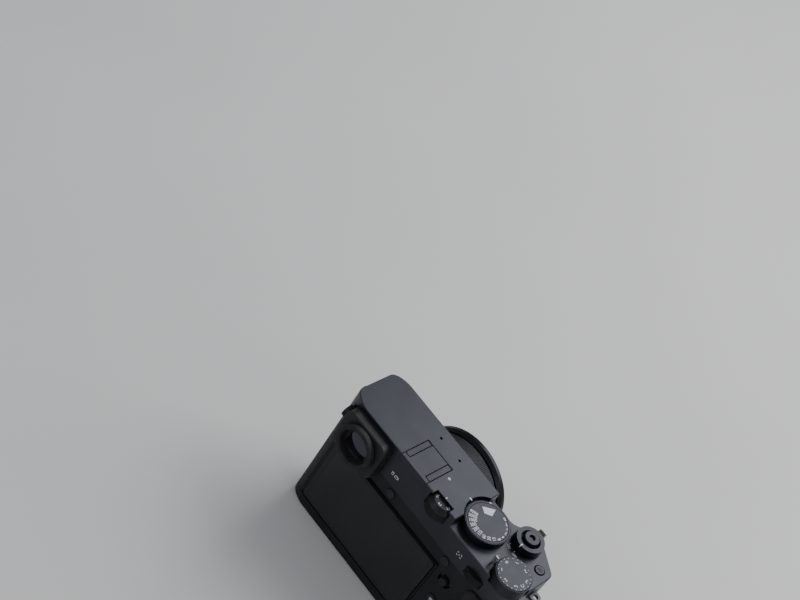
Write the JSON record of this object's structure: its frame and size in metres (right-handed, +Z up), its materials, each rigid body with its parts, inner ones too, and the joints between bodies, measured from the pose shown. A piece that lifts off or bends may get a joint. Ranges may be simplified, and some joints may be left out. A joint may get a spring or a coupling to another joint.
{
  "type": "medium format digital camera",
  "caption": "Fixed-lens rangefinder-style medium format digital camera with dials, tilting screen, viewfinder, accessory shoe and ribbed lens rings.",
  "frame": {"origin": "mouth of the tripod socket in the base, below the lens axis and midway between the body's front and rear faces", "axes": "+Z is up, -Y is the way the lens looks, +Y is the rear with the screen and eyecup, +X is the viewfinder end and -X is the grip end"},
  "size_m": [0.1447, 0.0765, 0.0904],
  "materials": {
    "satin_alloy": "fine blasted dark grey anodising",
    "dial_alloy": "turned dark grey anodising",
    "black_alloy": "matt black coating on light alloy",
    "cast_alloy": "as cast, dull",
    "black_plastic": "fine matt black",
    "black_rubber": "soft matt black",
    "leatherette": "pebbled black covering",
    "black_steel": "blackened steel",
    "steel": "bright steel",
    "optical_glass": "polished and coated",
    "display": "gloss black cover glass",
    "sensor": "dark filter glass on a ceramic carrier",
    "board": "green solder mask",
    "lamp": "clear amber window",
    "battery_case": "moulded dark grey",
    "card_plastic": "moulded dark grey"
  },
  "bodies": {
    "camera": {"chassis": "cast_alloy", "top_plate": "satin_alloy", "front_cover": "black_alloy", "rear_cover": "black_alloy", "base_plate": "black_alloy", "covering": "leatherette", "thumb_rest": "black_rubber", "shoe_rails": "satin_alloy", "strap_lugs": "black_steel", "tripod_bush": "steel", "case_screws": "black_steel", "viewfinder_housing": "black_plastic", "eyecup": "black_rubber", "eyepiece_lens": "optical_glass", "finder_display": "display", "dial_posts": "steel", "release_spring": "steel", "lens_base": "dial_alloy", "lens_barrel": "black_alloy", "filter_ring": "dial_alloy", "front_glass": "optical_glass", "rear_glass": "optical_glass", "iris_plate": "black_steel", "image_sensor": "sensor", "circuit_boards": "board", "assist_lamp": "lamp", "battery": "battery_case", "memory_cards": "card_plastic"},
    "shutter_dial": {"shutter_dial": "dial_alloy"},
    "sensitivity_ring": {"sensitivity_ring": "dial_alloy"},
    "exposure_dial": {"exposure_dial": "dial_alloy"},
    "release_button": {"release_button": "satin_alloy"},
    "power_lever": {"power_lever": "dial_alloy"},
    "top_button": {"top_button": "satin_alloy"},
    "front_dial": {"front_dial": "black_alloy"},
    "crop_lever": {"crop_lever": "black_alloy"},
    "front_button": {"front_button": "black_plastic"},
    "aspect_dial": {"aspect_dial": "dial_alloy"},
    "rear_dial": {"rear_dial": "black_alloy"},
    "stick_gimbal": {"stick_gimbal": "steel"},
    "focus_stick": {"focus_stick": "black_rubber"},
    "drive_button": {"drive_button": "black_plastic"},
    "lock_button": {"lock_button": "black_plastic"},
    "quick_button": {"quick_button": "black_plastic"},
    "menu_button": {"menu_button": "black_plastic"},
    "playback_button": {"playback_button": "black_plastic"},
    "back_button": {"back_button": "black_plastic"},
    "focus_switch": {"focus_switch": "black_plastic"},
    "diopter_dial": {"diopter_dial": "black_plastic"},
    "screen_arm": {"screen_arm": "black_alloy"},
    "screen": {"screen_frame": "black_plastic", "screen_glass": "display"},
    "battery_door": {"battery_door": "black_plastic"},
    "battery_latch": {"battery_latch": "black_plastic"},
    "card_door": {"card_door": "black_plastic"},
    "connector_door": {"connector_door": "black_plastic"},
    "shoe_cover": {"shoe_cover": "satin_alloy"},
    "control_ring": {"control_ring": "dial_alloy"},
    "aperture_ring": {"aperture_ring": "dial_alloy"},
    "focus_ring": {"focus_ring": "dial_alloy"}
  },
  "joints": [
    {"name": "shutter_dial_turn", "type": "hinge", "parent": "camera", "child": "shutter_dial", "pos_m": [-0.0399, 0, 0.0865], "axis": [0, 0, 1], "continuous": true},
    {"name": "sensitivity_ring_turn", "type": "hinge", "parent": "camera", "child": "sensitivity_ring", "pos_m": [-0.0399, 0, 0.0855], "axis": [0, 0, 1], "continuous": true},
    {"name": "exposure_dial_turn", "type": "hinge", "parent": "camera", "child": "exposure_dial", "pos_m": [-0.0691, 0.0083, 0.085], "axis": [0, 0, 1], "range_deg": [-150, 150]},
    {"name": "release_press", "type": "slide", "parent": "camera", "child": "release_button", "axis": [0, 0, -1], "range_m": [0, 0.0012], "stiffness_N_per_m": 1000, "springref_m": -0.0005, "deforming": ["release_spring"]},
    {"name": "power_lever_turn", "type": "hinge", "parent": "camera", "child": "power_lever", "pos_m": [-0.0588, -0.0151, 0.086], "axis": [0, 0, -1], "range_deg": [0, 30]},
    {"name": "top_button_press", "type": "slide", "parent": "camera", "child": "top_button", "axis": [0, 0, -1], "range_m": [0, 0.0005], "stiffness_N_per_m": 1000, "springref_m": -0.0005},
    {"name": "front_dial_turn", "type": "hinge", "parent": "camera", "child": "front_dial", "pos_m": [-0.0584, -0.0217, 0.0724], "axis": [0, 0, 1], "continuous": true},
    {"name": "crop_lever_turn", "type": "hinge", "parent": "camera", "child": "crop_lever", "pos_m": [-0.0584, -0.0217, 0.065], "axis": [0, 0, 1], "range_deg": [-18, 18], "stiffness_Nm_per_rad": 0.02},
    {"name": "front_button_press", "type": "slide", "parent": "camera", "child": "front_button", "axis": [0, 1, 0], "range_m": [0, 0.0006], "stiffness_N_per_m": 1000, "springref_m": -0.0005},
    {"name": "aspect_dial_turn", "type": "hinge", "parent": "camera", "child": "aspect_dial", "pos_m": [-0.0195, 0.0129, 0.084], "axis": [0, 0, 1], "continuous": true},
    {"name": "rear_dial_turn", "type": "hinge", "parent": "camera", "child": "rear_dial", "pos_m": [-0.0567, 0.012, 0.073], "axis": [0, 0, 1], "continuous": true},
    {"name": "stick_gimbal_turn", "type": "hinge", "parent": "camera", "child": "stick_gimbal", "pos_m": [-0.0465, 0.0149, 0.054], "axis": [0, 0, 1], "range_deg": [-8, 8], "stiffness_Nm_per_rad": 0.02},
    {"name": "focus_stick_tilt", "type": "hinge", "parent": "stick_gimbal", "child": "focus_stick", "pos_m": [-0.0465, 0.0149, 0.054], "axis": [1, 0, 0], "range_deg": [-8, 8], "stiffness_Nm_per_rad": 0.02},
    {"name": "drive_button_press", "type": "slide", "parent": "camera", "child": "drive_button", "axis": [0, -1, 0], "range_m": [0, 0.0006], "stiffness_N_per_m": 1000, "springref_m": -0.0005},
    {"name": "lock_button_press", "type": "slide", "parent": "camera", "child": "lock_button", "axis": [0, -1, 0], "range_m": [0, 0.0006], "stiffness_N_per_m": 1000, "springref_m": -0.0005},
    {"name": "quick_button_press", "type": "slide", "parent": "camera", "child": "quick_button", "axis": [0, -1, 0], "range_m": [0, 0.0006], "stiffness_N_per_m": 1000, "springref_m": -0.0005},
    {"name": "menu_button_press", "type": "slide", "parent": "camera", "child": "menu_button", "axis": [0, -1, 0], "range_m": [0, 0.0006], "stiffness_N_per_m": 1000, "springref_m": -0.0005},
    {"name": "playback_button_press", "type": "slide", "parent": "camera", "child": "playback_button", "axis": [0, -1, 0], "range_m": [0, 0.0006], "stiffness_N_per_m": 1000, "springref_m": -0.0005},
    {"name": "back_button_press", "type": "slide", "parent": "camera", "child": "back_button", "axis": [0, -1, 0], "range_m": [0, 0.0006], "stiffness_N_per_m": 1000, "springref_m": -0.0005},
    {"name": "focus_switch_slide", "type": "slide", "parent": "camera", "child": "focus_switch", "axis": [0, 0, 1], "range_m": [-0.0035, 0.0035]},
    {"name": "diopter_dial_turn", "type": "hinge", "parent": "camera", "child": "diopter_dial", "pos_m": [0.048, 0.0191, 0.08], "axis": [1, 0, 0], "range_deg": [-150, 150]},
    {"name": "screen_arm_turn", "type": "hinge", "parent": "camera", "child": "screen_arm", "pos_m": [0.0037, 0.0164, 0.0093], "axis": [-1, 0, 0], "range_deg": [0, 45]},
    {"name": "screen_turn", "type": "hinge", "parent": "screen_arm", "child": "screen", "pos_m": [0.0037, 0.0164, 0.0564], "axis": [1, 0, 0], "range_deg": [0, 90]},
    {"name": "battery_door_turn", "type": "hinge", "parent": "camera", "child": "battery_door", "pos_m": [-0.04055, -0.0011, 0.00085], "axis": [0, -1, 0], "range_deg": [0, 90]},
    {"name": "battery_latch_slide", "type": "slide", "parent": "battery_door", "child": "battery_latch", "axis": [1, 0, 0], "range_m": [0, 0.002]},
    {"name": "card_door_turn", "type": "hinge", "parent": "camera", "child": "card_door", "pos_m": [-0.0783, -0.0015, 0.0585], "axis": [0, -1, 0], "range_deg": [0, 90]},
    {"name": "connector_door_turn", "type": "hinge", "parent": "camera", "child": "connector_door", "pos_m": [0.0528, -0.0032, 0.032], "axis": [0, 0, -1], "range_deg": [0, 90]},
    {"name": "shoe_cover_slide", "type": "slide", "parent": "camera", "child": "shoe_cover", "axis": [0, 1, 0], "range_m": [0, 0.022]},
    {"name": "control_ring_turn", "type": "hinge", "parent": "camera", "child": "control_ring", "pos_m": [0, -0.0241, 0.041], "axis": [0, -1, 0], "continuous": true},
    {"name": "aperture_ring_turn", "type": "hinge", "parent": "camera", "child": "aperture_ring", "pos_m": [0, -0.0303, 0.041], "axis": [0, -1, 0], "range_deg": [0, 110]},
    {"name": "focus_ring_turn", "type": "hinge", "parent": "camera", "child": "focus_ring", "pos_m": [0, -0.0388, 0.041], "axis": [0, -1, 0], "continuous": true}
  ]
}
